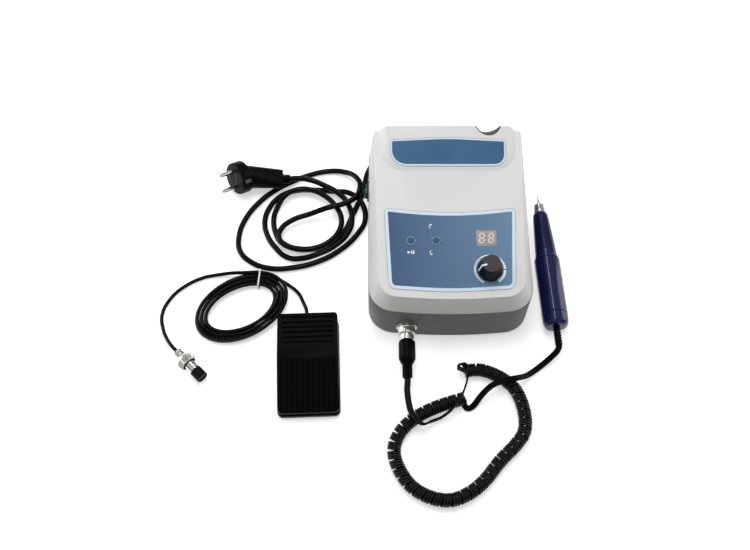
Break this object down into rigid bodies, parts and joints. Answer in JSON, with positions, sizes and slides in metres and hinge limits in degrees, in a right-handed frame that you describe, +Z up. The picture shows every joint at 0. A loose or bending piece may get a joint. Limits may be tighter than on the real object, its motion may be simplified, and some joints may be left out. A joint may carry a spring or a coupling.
{
  "type": "dental laboratory micromotor",
  "caption": "Bench control unit with speed knob and display, slim electric motor handpiece on a curly cable, foot pedal on a tied cord and mains lead with a round plug.",
  "frame": {"origin": "on the bench, under the middle of the box of control unit, pedal and handpiece", "axes": "+X to the right of the control unit's operator, +Y to the unit's rear, +Z up from the bench"},
  "size_m": [0.4356, 0.4333, 0.0998],
  "materials": {
    "base_plastic": "fine-grained moulded grey",
    "cover_plastic": "smooth moulded off-white",
    "label_film": "printed blue film",
    "badge_film": "printed blue film",
    "rubber_black": "matte moulded rubber",
    "steel": "turned steel",
    "display_face": "tinted display face",
    "dark_plastic": "moulded dark plastic",
    "button_plastic": "blue button",
    "knob_gloss": "glossy black",
    "knob_disc": "spun dark grey disc",
    "board": "green laminate",
    "rocker_green": "translucent green",
    "nickel": "nickel plate",
    "cord_rubber": "black cord sheath",
    "navy_paint": "glossy dark blue",
    "winding_copper": "wound copper",
    "pedal_plastic": "moulded black plastic",
    "tie_white": "paper-covered wire",
    "plug_black": "moulded black"
  },
  "bodies": {
    "unit": {"lower_base": "base_plastic", "upper_cover": "cover_plastic", "panel_label": "label_film", "badge_label": "badge_film", "rest_pad": "rubber_black", "rubber_feet": "rubber_black", "case_screws": "steel", "display_window": "display_face", "display_module": "dark_plastic", "button_switches": "dark_plastic", "potentiometer": "dark_plastic", "control_board": "board", "power_supply": "board", "switch_bezel": "dark_plastic", "fuse_holder": "dark_plastic", "mains_gland": "rubber_black", "motor_socket": "nickel", "pedal_socket": "nickel", "socket_nuts": "nickel", "motor_plug_shell": "nickel", "motor_plug_boot": "rubber_black", "motor_cord_sleeve": "rubber_black", "motor_lead": "cord_rubber", "curly_cord": "cord_rubber", "handpiece_lead": "cord_rubber", "handpiece_sleeve": "rubber_black", "rear_cap": "navy_paint", "motor_housing": "navy_paint", "collar_ring": "nickel", "nose_piece": "steel", "bearings": "steel", "stator": "winding_copper", "pedal_base": "pedal_plastic", "pedal_hinge_pin": "steel", "pedal_spring": "steel", "pedal_switch": "dark_plastic", "pedal_feet": "rubber_black", "pedal_gland": "rubber_black", "pedal_cord_lead": "cord_rubber", "pedal_cord_coil": "cord_rubber", "pedal_cord_tail": "cord_rubber", "cord_tie": "tie_white", "pedal_plug_body": "dark_plastic", "mains_plug": "plug_black", "plug_pins": "nickel", "earth_clips": "nickel", "mains_cord": "cord_rubber"},
    "speed_control": {"speed_knob": "knob_gloss", "knob_cap": "knob_disc", "pot_shaft": "steel"},
    "start_key": {"start_button": "button_plastic"},
    "direction_key": {"direction_button": "button_plastic"},
    "power_key": {"power_rocker": "rocker_green"},
    "treadle": {"pedal_treadle": "pedal_plastic"},
    "motor_shaft": {"spindle": "steel", "rotor": "steel", "tool": "steel"},
    "chuck_grip": {"front_grip": "navy_paint"},
    "plug_ring": {"motor_coupling_ring": "nickel"},
    "pedal_plug_nut": {"pedal_coupling_nut": "nickel"}
  },
  "joints": [
    {"name": "speed_turn", "type": "hinge", "parent": "unit", "child": "speed_control", "pos_m": [0.0658, -0.0192, 0.07257], "axis": [0, -0.1132, 0.9936], "range_deg": [-253, 47]},
    {"name": "start_press", "type": "slide", "parent": "unit", "child": "start_key", "axis": [0, 0.1132, -0.9936], "range_m": [0, 0.0004], "stiffness_N_per_m": 1500, "springref_m": -0.0002},
    {"name": "direction_press", "type": "slide", "parent": "unit", "child": "direction_key", "axis": [0, 0.1132, -0.9936], "range_m": [0, 0.0004], "stiffness_N_per_m": 1500, "springref_m": -0.0002},
    {"name": "power_rock", "type": "hinge", "parent": "unit", "child": "power_key", "pos_m": [-0.059, 0.1023, 0.032], "axis": [0, 1, 0], "range_deg": [-24, 0]},
    {"name": "treadle_press", "type": "hinge", "parent": "unit", "child": "treadle", "pos_m": [-0.12001, -0.0949, 0.017], "axis": [0.9993, 0.0366, 0], "range_deg": [0, 4], "stiffness_Nm_per_rad": 4, "springref_deg": -3.44, "deforming": ["pedal_spring"]},
    {"name": "motor_spin", "type": "hinge", "parent": "unit", "child": "motor_shaft", "pos_m": [0.1403, -0.0573, 0.0138], "axis": [-0.0375, 0.9993, 0], "continuous": true},
    {"name": "chuck_turn", "type": "hinge", "parent": "unit", "child": "chuck_grip", "pos_m": [0.1403, -0.0573, 0.0138], "axis": [-0.0375, 0.9993, 0], "range_deg": [0, 50]},
    {"name": "plug_ring_turn", "type": "hinge", "parent": "unit", "child": "plug_ring", "pos_m": [-0.018, -0.0592, 0.0225], "axis": [0, -1, 0], "range_deg": [0, 720]},
    {"name": "pedal_nut_turn", "type": "hinge", "parent": "unit", "child": "pedal_plug_nut", "pos_m": [-0.2574, -0.0826, 0.0092], "axis": [0.7071, -0.7071, 0], "continuous": true}
  ]
}
